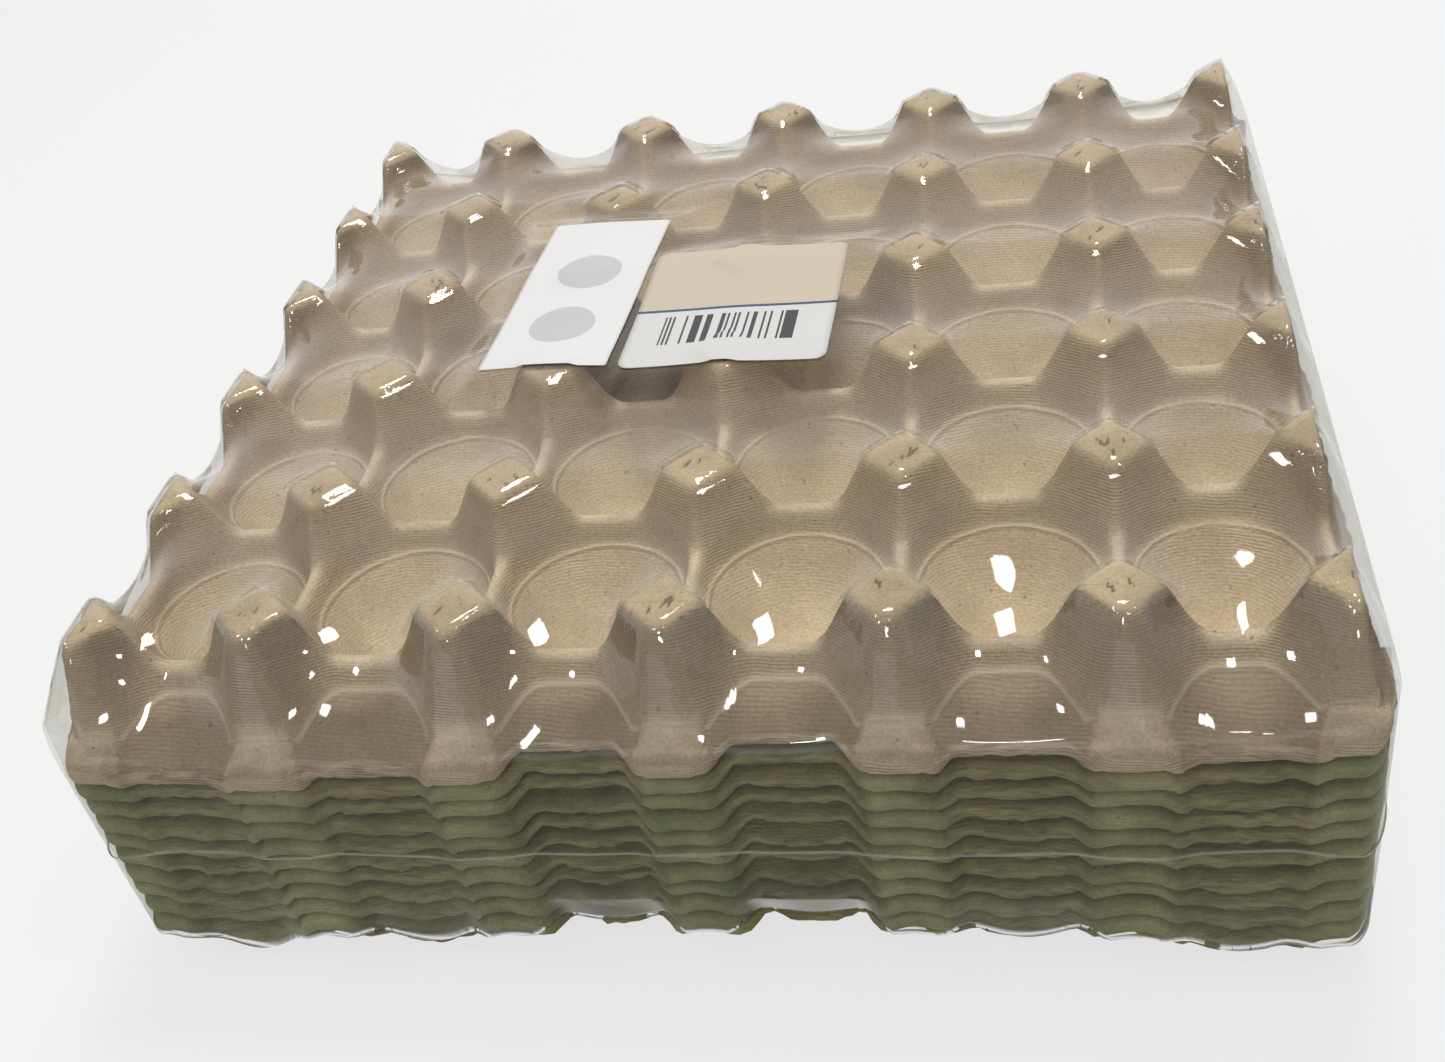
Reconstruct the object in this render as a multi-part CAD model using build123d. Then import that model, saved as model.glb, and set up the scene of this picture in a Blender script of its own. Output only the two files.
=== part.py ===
from build123d import *
from math import cos, pi, sin
import os

# Stack of ten nested moulded-pulp egg trays in a shrink film, with two stickers on the film.
# Millimetres, X across the six cells, Y across the five, Z up, origin under the middle.

# Egg tray: cells, and a post at each crossing of their borders
cells_x = 6
cells_y = 5
pitch_x = 47.5
pitch_y = 48.5
outer_pitch_x = 43.5          # the moulding is trimmed short at its left and right sides
tray_height = 47.0            # cup underside to post top
post_half_top = 8.6           # half diagonal of a post's flat top
post_spread = 0.46            # growth of that half diagonal for each mm down
ledge_drop = 24.0             # post top down to the ledge round the tray
ledge_thickness = 3.2
web_depth = 7.0               # how far the posts and saddles run down between the cups

# Saddles, the low walls that join neighbouring posts
saddle_drop = 15.0
saddle_width = 3.7
saddle_foot_width = 8.4

# Cups, with a few flat sides each
cup_sides = 8
cup_mouth_radius = 21.5
cup_floor_radius = 7.0
cup_floor_thickness = 4.5

# Rim outside the outer posts
tab_reach = 24.5              # front and back, from the row of posts to the tab's edge
tab_root_reach = 14.0
tab_width = 11.4
scallop_reach = 19.0          # the edge between two tabs, which lies further in and lower
scallop_dip = 3.0
side_reach = 7.5              # left and right, where the posts are cut in half
side_root_reach = 4.1
corner_tab = 1.0

# Nesting
tray_count = 10
nest_step = 5.8
nest_clearance = 0.3
covered_wall = 3.5            # pulp under the low saddles of the outer rows of a covered tray
outer_saddle_under = 11.0

# Shrink film
film_thickness = 0.3
film_clearance = 0.3
film_sag = 10.0               # over the middle of a cell
edge_sag = 7.0                # between two posts of an outer row
film_floor_inset = 20.0       # how far the flat bottom lies inside the sides
seam_height = 47.0
seam_reach = 1.2
seam_thickness = 0.6

# Stickers
sticker_thickness = 0.2
label_size = (55.0, 60.0)
label_place = (0.3, 0.5)
label_turn = -1.5
label_corner = 3.0
plain_sticker_size = (36.0, 80.0)
plain_sticker_turn = -3.0
plain_sticker_rise = 13.5     # further back than the label
sticker_gap = 1.8             # between the two at their middles, which clears their turns

ledge_z = tray_height - ledge_drop
post_under_z = tray_height - nest_step + nest_clearance
stack_base = film_thickness + film_clearance
stack_top = stack_base + (tray_count - 1) * nest_step + tray_height

inner_x = (cells_x / 2 - 1) * pitch_x
column_x = [-inner_x - outer_pitch_x]
column_x += [-inner_x + i * pitch_x for i in range(cells_x - 1)]
column_x += [inner_x + outer_pitch_x]
row_y = [(j - cells_y / 2) * pitch_y for j in range(cells_y + 1)]
edge_x = column_x[-1]
edge_y = row_y[-1]


def middle(a, b):
    return (a + b) / 2


def polygon(points):
    """Flat face through points in order."""
    return Face(Wire.make_polygon([Vector(*p) for p in points], close=True))


def closed_solid(facets):
    """Solid inside a closed skin of flat facets."""
    return Solid(Shell([polygon(f) for f in facets]))


def fan(points):
    """Triangles from the first point to each later pair."""
    return [(points[0], points[k], points[k + 1]) for k in range(1, len(points) - 1)]


def shifted(point, out, outward, sideways, z):
    """Point moved outward and along a side of the tray, at height z."""
    along = (-out[1], out[0])
    x = point[0] + out[0] * outward + along[0] * sideways
    y = point[1] + out[1] * outward + along[1] * sideways
    return (x, y, z)


def tabbed_rim(posts, saddles, out, z):
    """Front or back ledge, with a tab at each post: facets, outer edge, feet of the posts."""
    facets = []
    edge = []
    last = len(posts) - 1
    feet = [shifted(p, out, tab_root_reach, 0, z) for p in posts]
    for k, post in enumerate(posts):
        before = corner_tab if k == 0 else tab_width / 2
        after = corner_tab if k == last else tab_width / 2
        tab = [shifted(post, out, tab_reach, w, z) for w in (-before, after)]
        if k > 0:
            dip = shifted(saddles[k - 1], out, scallop_reach, 0, z - scallop_dip)
            facets += fan([saddles[k - 1], feet[k - 1], edge[-1], dip])
            facets += fan([saddles[k - 1], dip, tab[0], feet[k]])
            edge.append(dip)
        facets.append((feet[k], tab[0], tab[1]))
        edge += tab
    return facets, edge, feet


def straight_rim(posts, saddles, out, z):
    """Left or right ledge, narrow and straight: facets, outer edge, feet of the posts."""
    feet = [shifted(p, out, side_root_reach, 0, z) for p in posts]
    edge = [
        shifted(posts[0], out, side_reach, -corner_tab, z),
        shifted(posts[-1], out, side_reach, corner_tab, z),
    ]
    facets = [(feet[k], saddles[k], feet[k + 1]) for k in range(len(saddles))]
    facets.append(edge + feet[::-1])
    return facets, edge, feet


def tray_lattice(post_z, saddle_z, outer_saddle_z):
    """Points of a tray face: posts, saddles along X and saddles along Y."""
    posts = [[(x, y, post_z) for y in row_y] for x in column_x]
    across = []
    for i in range(cells_x):
        x = middle(column_x[i], column_x[i + 1])
        across.append([(x, y, outer_saddle_z if abs(y) == edge_y else saddle_z) for y in row_y])
    back = []
    for x in column_x:
        z = outer_saddle_z if abs(x) == edge_x else saddle_z
        back.append([(x, middle(row_y[j], row_y[j + 1]), z) for j in range(cells_y)])
    return posts, across, back


def sides(posts, across, back):
    """The four outer rows, anticlockwise from the front: posts, saddles, direction, ledge."""
    front = [column[0] for column in posts], [column[0] for column in across]
    rear = [column[-1] for column in posts][::-1], [column[-1] for column in across][::-1]
    return [
        (*front, (0, -1), tabbed_rim),
        (posts[-1], back[-1], (1, 0), straight_rim),
        (*rear, (0, 1), tabbed_rim),
        (posts[0][::-1], back[0][::-1], (-1, 0), straight_rim),
    ]


def rim_skin(outer_rows, z):
    """Ledge all round: facets, outer edge and, for each side, the feet of its posts."""
    facets = []
    outline = []
    feet = []
    for posts, saddles, out, rim in outer_rows:
        side_facets, edge, roots = rim(posts, saddles, out, z)
        if outline:
            facets += fan([feet[-1][-1], outline[-1], edge[0], roots[0]])
        facets += side_facets
        outline += edge
        feet.append(roots)
    facets += fan([feet[-1][-1], outline[-1], outline[0], feet[0][0]])
    return facets, outline, feet


def cup_floor(lows, at_corner, cup):
    """Facets of a covered cup between its four saddles, front, right, back and left."""
    front, right, rear, left = lows
    if at_corner:
        return [(lows[k - 1], lows[k], cup) for k in range(4)]
    if front[2] == rear[2]:
        return [(front, right, rear), (front, rear, left)]
    return [(front, right, left), (right, rear, left)]


def tray_skin(post_z, saddle_z, outer_saddle_z, rim_z):
    """One face of a covered tray: pointed posts that meet at the floor, and the ledge."""
    posts, across, back = tray_lattice(post_z, saddle_z, outer_saddle_z)
    outer_rows = sides(posts, across, back)
    facets, outline, feet = rim_skin(outer_rows, rim_z)
    for i in range(cells_x):
        for j in range(cells_y):
            corners = [posts[i][j], posts[i + 1][j], posts[i + 1][j + 1], posts[i][j + 1]]
            lows = [across[i][j], back[i + 1][j], across[i][j + 1], back[i][j]]
            facets += [(corners[k], lows[k], lows[k - 1]) for k in range(4)]
            at_corner = i in (0, cells_x - 1) and j in (0, cells_y - 1)
            cup = (across[i][j][0], back[i][j][1], saddle_z)
            facets += cup_floor(lows, at_corner, cup)
    for n, (row, saddles, out, rim) in enumerate(outer_rows):
        for k, saddle in enumerate(saddles):
            facets.append((row[k], feet[n][k], saddle))
            facets.append((row[k + 1], saddle, feet[n][k + 1]))
        facets.append((row[0], feet[n - 1][-1], feet[n][0]))
    return facets, outline


def band(upper, lower):
    """Quadrilaterals between two loops of as many points."""
    return [(upper[k], upper[k - 1], lower[k - 1], lower[k]) for k in range(len(upper))]


def tray_underside():
    """Underside of every tray: it clears the posts of the tray below by the clearance."""
    return tray_skin(post_under_z, 0, outer_saddle_under, ledge_z - ledge_thickness)


def covered_tray():
    """Tray below the top one, with the fewest facets that still nest."""
    outer_saddle_z = outer_saddle_under + covered_wall
    top, top_edge = tray_skin(tray_height, cup_floor_thickness, outer_saddle_z, ledge_z)
    bottom, bottom_edge = tray_underside()
    return closed_solid(top + bottom + band(top_edge, bottom_edge))


def frustum(low, high):
    """Flat-faced solid between two loops of points at two heights."""
    return closed_solid([low, high] + band(high, low))


def loop(half_x, half_y, z):
    """Rectangle about the Z axis, from its half sizes."""
    return [(-half_x, -half_y, z), (half_x, -half_y, z), (half_x, half_y, z), (-half_x, half_y, z)]


def post():
    """Diamond post with a flat top, carried down into the web between the cups."""
    def diamond(drop):
        half = post_half_top + post_spread * drop
        z = tray_height - drop
        return [(half, 0, z), (0, half, z), (-half, 0, z), (0, -half, z)]

    return frustum(diamond(ledge_drop + web_depth), diamond(0))


def saddle_bar(length):
    """Wall along X under a row of saddles."""
    spread = (saddle_foot_width - saddle_width) / (ledge_drop - saddle_drop)

    def section(drop):
        width = saddle_width + spread * (drop - saddle_drop)
        return loop(length / 2, width / 2, tray_height - drop)

    return frustum(section(ledge_drop + web_depth), section(saddle_drop))


def cup_hollow():
    """Space inside one cup, down to its flat floor."""
    step = 2 * pi / cup_sides

    def ring(flat_radius, z):
        radius = flat_radius / cos(step / 2)
        angles = [(k + 0.5) * step for k in range(cup_sides)]
        return [(radius * cos(a), radius * sin(a), z) for a in angles]

    return frustum(ring(cup_floor_radius, cup_floor_thickness), ring(cup_mouth_radius, ledge_z))


def outer_bounds():
    """Sloping sides that bevel the front and back posts and cut the side posts in half."""
    front_slope = (tab_root_reach - post_half_top) / ledge_drop
    side_slope = side_root_reach / ledge_drop

    def section(z):
        drop = tray_height - z
        return loop(edge_x + side_slope * drop, edge_y + post_half_top + front_slope * drop, z)

    return frustum(section(0), section(2 * tray_height))


def top_tray():
    """Tray in full form: flat-topped posts, saddle walls and faceted cups."""
    outer_rows = sides(*tray_lattice(tray_height, ledge_z, ledge_z))
    ledge, edge, feet = rim_skin(outer_rows, ledge_z)
    inner = []
    for outer_row, roots in zip(outer_rows, feet):
        saddles = outer_row[1]
        for k, foot in enumerate(roots):
            inner.append(foot)
            inner += saddles[k:k + 1]
    block_edge = [(x, y, -tray_height) for x, y, z in edge]
    block = closed_solid(ledge + [inner] + band(edge, block_edge) + [block_edge])

    cup_x = [middle(column_x[i], column_x[i + 1]) for i in range(cells_x)]
    cup_y = [middle(row_y[j], row_y[j + 1]) for j in range(cells_y)]
    block -= [Pos(x, y, 0) * cup_hollow() for x in cup_x for y in cup_y]

    walls = [Pos(x, y, 0) * post() for x in column_x for y in row_y]
    walls += [Pos(0, y, 0) * saddle_bar(2 * edge_x) for y in row_y]
    walls += [Pos(x, 0, 0) * Rot(0, 0, 90) * saddle_bar(2 * edge_y) for x in column_x]
    bounds = outer_bounds()
    form = block + [wall & bounds for wall in walls]

    under, under_edge = tray_underside()
    roof_edge = [(x, y, 2 * tray_height) for x, y, z in under_edge]
    above = closed_solid(under + band(under_edge, roof_edge) + [roof_edge])
    return form & above


def film_post(x, y, gap):
    """Corners of the film's flat on a post: left, front, right and back."""
    z = stack_top + gap
    reach = post_half_top + 2 * gap
    left = gap if x == -edge_x else reach
    right = gap if x == edge_x else reach
    return [(x - left, y, z), (x, y - reach, z), (x + right, y, z), (x, y + reach, z)]


def film_ring(gap, inset, z):
    """Eight corners of the film's side walls at one height, anticlockwise from the front."""
    wide_x = edge_x + side_reach + gap - inset
    wide_y = edge_y + tab_reach + gap - inset
    near_x = edge_x + corner_tab + gap - inset
    near_y = edge_y + corner_tab + gap - inset
    return [
        (-near_x, -wide_y, z), (near_x, -wide_y, z), (wide_x, -near_y, z), (wide_x, near_y, z),
        (near_x, wide_y, z), (-near_x, wide_y, z), (-wide_x, near_y, z), (-wide_x, -near_y, z),
    ]


def film_skin(gap, floor_z, seam):
    """One face of the film, at a gap from the trays."""
    shoulder_z = stack_top - ledge_drop + gap
    flats = [[film_post(x, y, gap) for y in row_y] for x in column_x]
    facets = [flat for column in flats for flat in column]

    def sag(a, b):
        x = middle(a[0], b[0])
        y = middle(a[1], b[1])
        return (x, y, stack_top - edge_sag + gap)

    for i in range(cells_x):
        for j in range(cells_y):
            low, right = flats[i][j], flats[i + 1][j]
            high, left = flats[i + 1][j + 1], flats[i][j + 1]
            rim = [low[2], right[0], right[3], high[1], high[0], left[2], left[1], low[3]]
            centre = (middle(low[2][0], right[0][0]), middle(low[3][1], left[1][1]))
            cup = (*centre, stack_top - film_sag + gap)
            ring = []
            for k, point in enumerate(rim):
                ring.append(point)
                is_edge = [j == 0, i == cells_x - 1, j == cells_y - 1, i == 0][k // 2]
                if k % 2 == 0 and is_edge:
                    ring.append(sag(point, rim[k + 1]))
            facets += [(ring[k - 1], ring[k], cup) for k in range(len(ring))]

    outer_flats = [
        ([column[0] for column in flats], 0, (0, -1), tab_reach),
        (flats[-1], 1, (1, 0), side_reach),
        ([column[-1] for column in flats][::-1], 2, (0, 1), tab_reach),
        (flats[0][::-1], 3, (-1, 0), side_reach),
    ]
    shoulder = film_ring(gap, 0, shoulder_z)
    walls = film_ring(gap, 0, seam_height + seam_thickness / 2)
    for n, (row, turn, out, reach) in enumerate(outer_flats):
        line = []
        for k, flat in enumerate(row):
            before, outer, after = flat[turn], flat[(turn + 1) % 4], flat[(turn + 2) % 4]
            if n % 2 == 0:
                hem = (outer[0], shoulder[2 * n][1], shoulder_z)
            else:
                hem = (shoulder[2 * n][0], outer[1], shoulder_z)
            if k > 0:
                low = sag(previous[(turn + 2) % 4], before)
                facets.append((previous[(turn + 2) % 4], low, line[-1]))
                facets.append((low, hem, line[-1]))
                facets.append((low, before, hem))
                facets.append((before, outer, hem))
            if k < len(row) - 1:
                facets.append((outer, after, hem))
            line.append(hem)
            previous = flat
        start, end = shoulder[2 * n], shoulder[2 * n + 1]
        last_outer = row[-1][(turn + 1) % 4]
        next_row, next_turn = outer_flats[(n + 1) % 4][:2]
        next_outer = next_row[0][(next_turn + 1) % 4]
        beyond = shoulder[(2 * n + 2) % 8]
        first_outer = row[0][(turn + 1) % 4]
        facets.append((last_outer, line[-1], end))
        if n % 2 == 0:
            facets += fan([last_outer, end, beyond, next_outer])
        else:
            facets += fan([next_outer, last_outer, end, beyond])
        facets.append((first_outer, start, line[0]))
        facets.append([start, *line, end, walls[2 * n + 1], walls[2 * n]])
        facets.append([end, beyond, walls[(2 * n + 2) % 8], walls[2 * n + 1]])

    rings = [walls]
    if seam:
        rings.append(film_ring(gap, -seam_reach, seam_height + seam_thickness / 2))
        rings.append(film_ring(gap, -seam_reach, seam_height - seam_thickness / 2))
        rings.append(film_ring(gap, 0, seam_height - seam_thickness / 2))
    low_z = stack_base + ledge_z - ledge_thickness - scallop_dip - gap
    rings.append(film_ring(gap, 0, low_z))
    rings.append(film_ring(gap, film_floor_inset, floor_z))
    for upper, lower in zip(rings, rings[1:]):
        facets += band(upper, lower)
    facets.append(rings[-1])
    return facets


def shrink_film():
    """Closed thin film round the whole stack, with its seam round the sides."""
    outside = closed_solid(film_skin(film_clearance + film_thickness, 0, True))
    inside = closed_solid(film_skin(film_clearance, film_thickness, False))
    return outside - inside


def sticker(size, place, turn, corner):
    """Flat sticker on the film's post tops."""
    outline = RectangleRounded(*size, corner) if corner else Rectangle(*size)
    sheet = extrude(outline, sticker_thickness)
    return Pos(*place, stack_top + film_clearance + film_thickness) * Rot(0, 0, turn) * sheet


os.makedirs("parts", exist_ok=True)

nested = covered_tray()
full = top_tray()
for n in range(tray_count):
    body = full if n == tray_count - 1 else nested
    tray = Pos(0, 0, stack_base + n * nest_step) * body
    export_step(tray, f"parts/tray_{n + 1:02d}.step")

export_step(shrink_film(), "parts/shrink_film.step")
plain_sticker_place = (
    label_place[0] - (label_size[0] + plain_sticker_size[0]) / 2 - sticker_gap,
    label_place[1] + plain_sticker_rise,
)
plain = sticker(plain_sticker_size, plain_sticker_place, plain_sticker_turn, 0)
export_step(plain, "parts/plain_sticker.step")
label = sticker(label_size, label_place, label_turn, label_corner)
export_step(label, "parts/printed_label.step")
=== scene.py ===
import math
import bpy
import numpy as np
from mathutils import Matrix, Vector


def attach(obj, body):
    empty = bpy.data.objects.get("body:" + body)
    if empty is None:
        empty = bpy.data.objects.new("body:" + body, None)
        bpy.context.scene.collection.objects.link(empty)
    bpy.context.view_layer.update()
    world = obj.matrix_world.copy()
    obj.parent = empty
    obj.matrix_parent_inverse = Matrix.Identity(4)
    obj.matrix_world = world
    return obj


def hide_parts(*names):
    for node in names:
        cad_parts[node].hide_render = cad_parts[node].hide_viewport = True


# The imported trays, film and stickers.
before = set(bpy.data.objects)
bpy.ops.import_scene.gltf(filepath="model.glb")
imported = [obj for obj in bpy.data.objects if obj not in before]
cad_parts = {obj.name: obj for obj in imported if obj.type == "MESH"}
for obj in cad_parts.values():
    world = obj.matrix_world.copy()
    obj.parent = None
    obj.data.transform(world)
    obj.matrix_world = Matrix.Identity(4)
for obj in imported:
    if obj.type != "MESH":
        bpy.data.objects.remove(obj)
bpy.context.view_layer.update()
mm = 0.001


# Studio: a pale floor that keeps the pack's soft shadow, a bright square ceiling lamp that shows in
# the film's dips, a wide soft one behind it, three low fills and five small lamps for sparks in the
# folds.
def new_tree(material):
    """Empty node tree of a material, with its output."""
    material.use_nodes = True
    tree = material.node_tree
    tree.nodes.clear()
    return tree, tree.nodes.new("ShaderNodeOutputMaterial")


def add(tree, kind, inputs=(), **settings):
    """New node with its settings and its inputs: values, or sockets of other nodes."""
    made = tree.nodes.new(kind)
    for name, value in settings.items():
        setattr(made, name, value)
    for key, value in dict(inputs).items():
        if isinstance(value, bpy.types.NodeSocket):
            tree.links.new(value, made.inputs[key])
        else:
            made.inputs[key].default_value = value
    return made


def seen_share(tree):
    """One for rays from the camera, or through or off something clear, and zero for light."""
    rays = add(tree, "ShaderNodeLightPath").outputs
    seen = add(tree, "ShaderNodeMath", {0: rays["Is Camera Ray"], 1: rays["Is Glossy Ray"]},
               operation="MAXIMUM").outputs[0]
    return add(tree, "ShaderNodeMath", {0: seen, 1: rays["Is Transmission Ray"]},
               operation="MAXIMUM").outputs[0]


floor_half = 4.0
floor_glow = 0.72
floor_mesh = bpy.data.meshes.new("floor")
floor_mesh.from_pydata(
    [(-floor_half, -floor_half, 0), (floor_half, -floor_half, 0),
     (floor_half, floor_half, 0), (-floor_half, floor_half, 0)], [], [(0, 1, 2, 3)])
floor = bpy.data.objects.new("floor", floor_mesh)
bpy.context.scene.collection.objects.link(floor)

floor_paint = bpy.data.materials.new("floor_paint")
tree, out = new_tree(floor_paint)
paint = add(tree, "ShaderNodeBsdfDiffuse", {"Color": (0.62, 0.62, 0.61, 1)})
lit = add(tree, "ShaderNodeEmission", {"Color": (1, 1, 1, 1), "Strength": 1.0})
glow = add(tree, "ShaderNodeMath", {0: seen_share(tree), 1: floor_glow}, operation="MULTIPLY")
floor_mix = add(tree, "ShaderNodeMixShader",
                {0: glow.outputs[0], 1: paint.outputs[0], 2: lit.outputs[0]})
tree.links.new(floor_mix.outputs[0], out.inputs["Surface"])
floor_mesh.materials.append(floor_paint)

sky = bpy.data.worlds.new("sky")
bpy.context.scene.world = sky
sky.use_nodes = True
tree = sky.node_tree
tree.nodes.clear()
out = tree.nodes.new("ShaderNodeOutputWorld")
soft = add(tree, "ShaderNodeBackground", {"Color": (0.95, 0.97, 1.0, 1), "Strength": 0.15})
white = add(tree, "ShaderNodeBackground", {"Color": (1, 1, 1, 1), "Strength": 1.0})
sky_mix = add(tree, "ShaderNodeMixShader",
              {0: seen_share(tree), 1: soft.outputs[0], 2: white.outputs[0]})
tree.links.new(sky_mix.outputs[0], out.inputs["Surface"])


pack_middle = (0, 0, 0.08)
warm = (1.0, 0.985, 0.96)


def lamp(name, place, size, radiance, tint=(1, 1, 1), mirrored=True):
    """Rectangular lamp that faces the pack, with the brightness that its face shows."""
    data = bpy.data.lights.new(name, "AREA")
    data.shape = "RECTANGLE"
    data.size, data.size_y = size
    data.energy = radiance * math.pi * size[0] * size[1]
    data.color = tint
    made = bpy.data.objects.new(name, data)
    bpy.context.scene.collection.objects.link(made)
    made.location = place
    way = Vector(pack_middle) - Vector(place)
    made.rotation_euler = way.to_track_quat("-Z", "Y").to_euler()
    made.visible_glossy = mirrored


lamp("ceiling", (0.12, 0.3, 1.5), (0.38, 0.38), 24, warm)
lamp("behind", (0.0, 1.25, 1.05), (1.3, 0.8), 2.6, warm, mirrored=False)
lamp("fill_front", (-0.3, -1.7, 0.7), (1.4, 0.8), 0.9)
lamp("fill_right", (1.7, -0.3, 0.8), (1.0, 0.8), 0.45)
lamp("fill_left", (-1.7, -0.2, 0.6), (1.0, 0.8), 0.5)
spark_size, spark_radiance = (0.1, 0.1), 40
spark_places = [(-0.35, -0.75, 1.3), (0.3, -0.7, 1.3), (-0.7, -0.35, 1.3), (0.05, -1.05, 1.1),
                (0.6, -0.25, 1.35)]
for n, place in enumerate(spark_places):
    lamp(f"spark_{n}", place, spark_size, spark_radiance)

camera_data = bpy.data.cameras.new("camera")
camera_data.lens = 39.548
camera_data.sensor_width = 36.0
camera = bpy.data.objects.new("camera", camera_data)
bpy.context.scene.collection.objects.link(camera)
camera.location = (0.08275, -0.36763, 0.31149)
camera_turn = (52.141, 9.406, 7.897)
camera.rotation_euler = [math.radians(angle) for angle in camera_turn]
bpy.context.scene.camera = camera
bpy.context.scene.view_settings.view_transform = "Standard"


# Mould of the egg trays: diamond posts at the crossings of the cell borders, low saddle walls
# between them, a round bowl in each cell, and outside the last row a sloping arch with a raised tab
# at each post. Its wire mesh has joints that leave thin beads along the creases. Sizes in mm.
column_x = np.array([-138.5, -95.0, -47.5, 0.0, 47.5, 95.0, 138.5])
row_y = np.array([-121.25, -72.75, -24.25, 24.25, 72.75, 121.25])
cup_x, cup_y = (column_x[1:] + column_x[:-1]) / 2, (row_y[1:] + row_y[:-1]) / 2
tray_height = 47.0
# Posts: half width of the flat top, spread per mm of depth, and roundness of arrises, tops and feet
post_flat, post_spread = 8.4, 0.53
arris_round, arris_inset = 0.8, 0.7
top_round, cut_round, foot_round = 2.6, 2.0, 5.5
front_foot, side_foot = 14.0, 4.1
# Bowls, and the level ring round each of them
cup_floor, cup_curve = 7.5, 1.6
cup_radius = np.array([18.4, 20.4, 20.4, 20.4, 20.4, 18.4])
ring_z, ring_wide = 27.0, 2.5
# Saddle walls
saddle_z, saddle_half, saddle_steep = 32.8, 1.3, 1.75
wall_round, crest_round, fold_round = 0.6, 0.9, 1.5
# Ledge outside the last posts: arches, tabs between them, and how far each of them reaches
ledge_z, ledge_round, side_fall = 23.0, 0.8, 0.25
arch_reach, arch_z, arch_fall = 3.2, 27.6, 0.47
arch_edge = np.array([20.9, 19.6, 16.2, 15.7, 18.4, 20.9])
tab_reach, tab_half, tab_flank = 23.8, 5.8, 1.2
tab_bend, tab_bend_wide, tab_droop = 17.0, 7.0, 1.3
side_reach, side_pull = 6.9, 0.6


def ease(share):
    """Smooth step from 0 to 1."""
    share = np.clip(share, 0, 1)
    return share * share * (3 - 2 * share)


def soft_min(a, b, blend):
    """Lower of two heights, with the crease between them rounded."""
    near = np.clip(blend - np.abs(a - b), 0, None) / blend
    return np.minimum(a, b) - near * near * blend / 4


def soft_max(a, b, blend):
    """Higher of two heights, with the crease between them rounded."""
    return -soft_min(-a, -b, blend)


def nearest(values, stations):
    """Index of the nearest station for each value."""
    return np.abs(values[..., None] - stations).argmin(-1)


def soft_abs(value, radius):
    """Distance from zero, rounded near it."""
    return np.sqrt(value * value + radius * radius)


# No two posts are alike: how much lower each is, how far out of place, and the slots in its top
post_low_most, post_stray, slot_count = 0.9, 0.45, 4
slot_spread, slot_turn, slot_band = 4.4, 0.6, 3.5
slot_long, slot_wide, slot_depth = 2.1, 0.6, 0.9
chance = np.random.default_rng(7)
post_low = chance.uniform(0, post_low_most, (len(column_x), len(row_y)))
post_off_place = chance.normal(0, post_stray, (2, len(column_x), len(row_y)))
slots = chance.uniform(-1, 1, (slot_count, 3, len(column_x), len(row_y)))


def rim_share(x):
    """Zero at a tab, one along the arch between two tabs."""
    straight, blend = 4.5, 9.0
    aside = np.abs(x - column_x[nearest(x, column_x)])
    return ease((aside - straight) / blend)


def along_rim(x, values):
    """Value at each place along a rim, given at every post and mid-cell and smooth between them."""
    stations = np.sort([*column_x, *cup_x])
    step = np.interp(x, stations, np.arange(len(stations)))
    part = np.floor(step)
    return np.interp(part + ease(step - part), np.arange(len(stations)), values)


def framework(x, y):
    """Height of the posts and of the saddle walls that join them."""
    i, j = nearest(x, column_x), nearest(y, row_y)
    ahead = np.abs(y) - row_y[-1]
    aside = np.abs(x) - column_x[-1]
    fall = tray_height - ledge_z
    front_cut = tray_height - (ahead - post_flat) * fall / (front_foot - post_flat)
    side_cut = tray_height - aside * fall / side_foot
    cut = soft_min(front_cut, side_cut, fold_round)

    across = soft_abs(x - column_x[i] - post_off_place[0, i, j], arris_round) - arris_inset
    across = across + soft_abs(y - row_y[j] - post_off_place[1, i, j], arris_round)
    post = soft_min(tray_height - (across - post_flat) / post_spread, cut, cut_round)
    post = soft_min(post, tray_height - post_low[i, j], top_round)

    wall_x = saddle_z - (soft_abs(y - row_y[j], wall_round) - saddle_half) * saddle_steep
    wall_y = saddle_z - (soft_abs(x - column_x[i], wall_round) - saddle_half) * saddle_steep
    wall = soft_min(soft_max(wall_x, wall_y, fold_round), saddle_z, crest_round)
    return soft_max(post, soft_min(wall, cut, fold_round), foot_round)


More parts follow.
